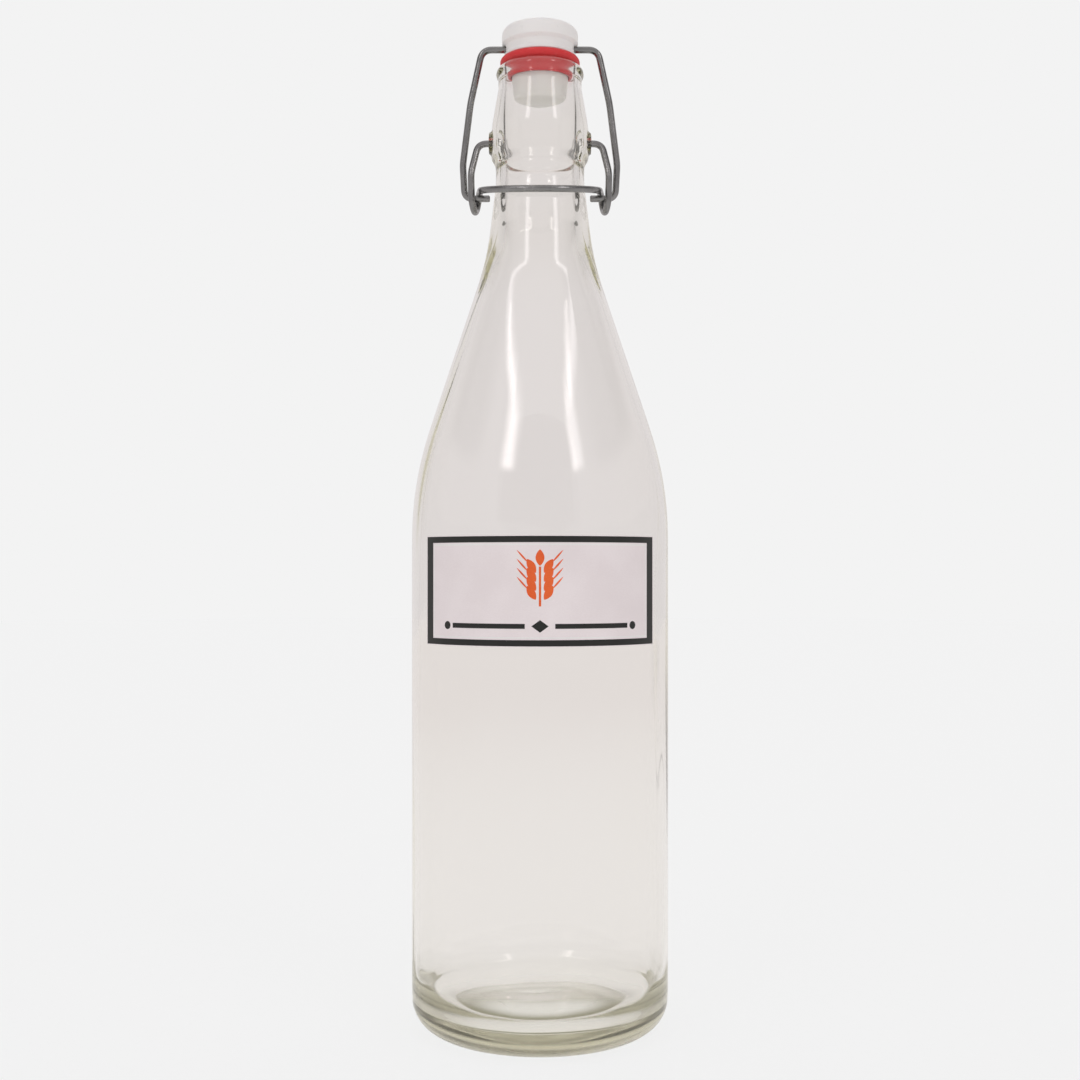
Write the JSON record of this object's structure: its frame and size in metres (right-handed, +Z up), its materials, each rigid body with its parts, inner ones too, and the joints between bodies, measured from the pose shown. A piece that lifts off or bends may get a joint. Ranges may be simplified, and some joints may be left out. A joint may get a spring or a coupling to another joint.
{
  "type": "swing-top bottle",
  "caption": "Tall clear glass bottle closed by a wire bail and lever that clamp a white stopper and red gasket onto its lip; plain label on the front.",
  "frame": {"origin": "on the surface the bottle stands on, on the bottle's axis", "axes": "+Z up along the bottle's axis; -Y towards the label and the lever's crossbar; +X to the right seen from the front"},
  "size_m": [0.084, 0.0845, 0.3277],
  "materials": {
    "glass": "clear, polished flint glass",
    "label": "matt printed film",
    "wire": "drawn, dull bright",
    "stopper": "satin, slightly translucent",
    "gasket": "smooth moulded"
  },
  "bodies": {
    "bottle": {"glass_bottle": "glass", "front_label": "label"},
    "lever": {"lever_wire": "wire"},
    "bail": {"bail_wire": "wire"},
    "stopper": {"stopper": "stopper", "gasket": "gasket"}
  },
  "joints": [
    {"name": "lever_hinge", "type": "hinge", "parent": "bottle", "child": "lever", "pos_m": [0, 0, 0.2899], "axis": [-1, 0, 0], "range_deg": [0, 85]},
    {"name": "bail_hinge", "type": "hinge", "parent": "lever", "child": "bail", "pos_m": [0, 0.0006, 0.27195], "axis": [-1, 0, 0], "range_deg": [-54.4, 0]},
    {"name": "stopper_hinge", "type": "hinge", "parent": "bail", "child": "stopper", "pos_m": [0, 0, 0.3208], "axis": [-1, 0, 0], "range_deg": [-12.75, 0]}
  ],
  "couplings": [
    {"joint": "bail_hinge", "follows": "lever_hinge", "ratio": -0.64},
    {"joint": "stopper_hinge", "follows": "lever_hinge", "ratio": -0.15}
  ]
}
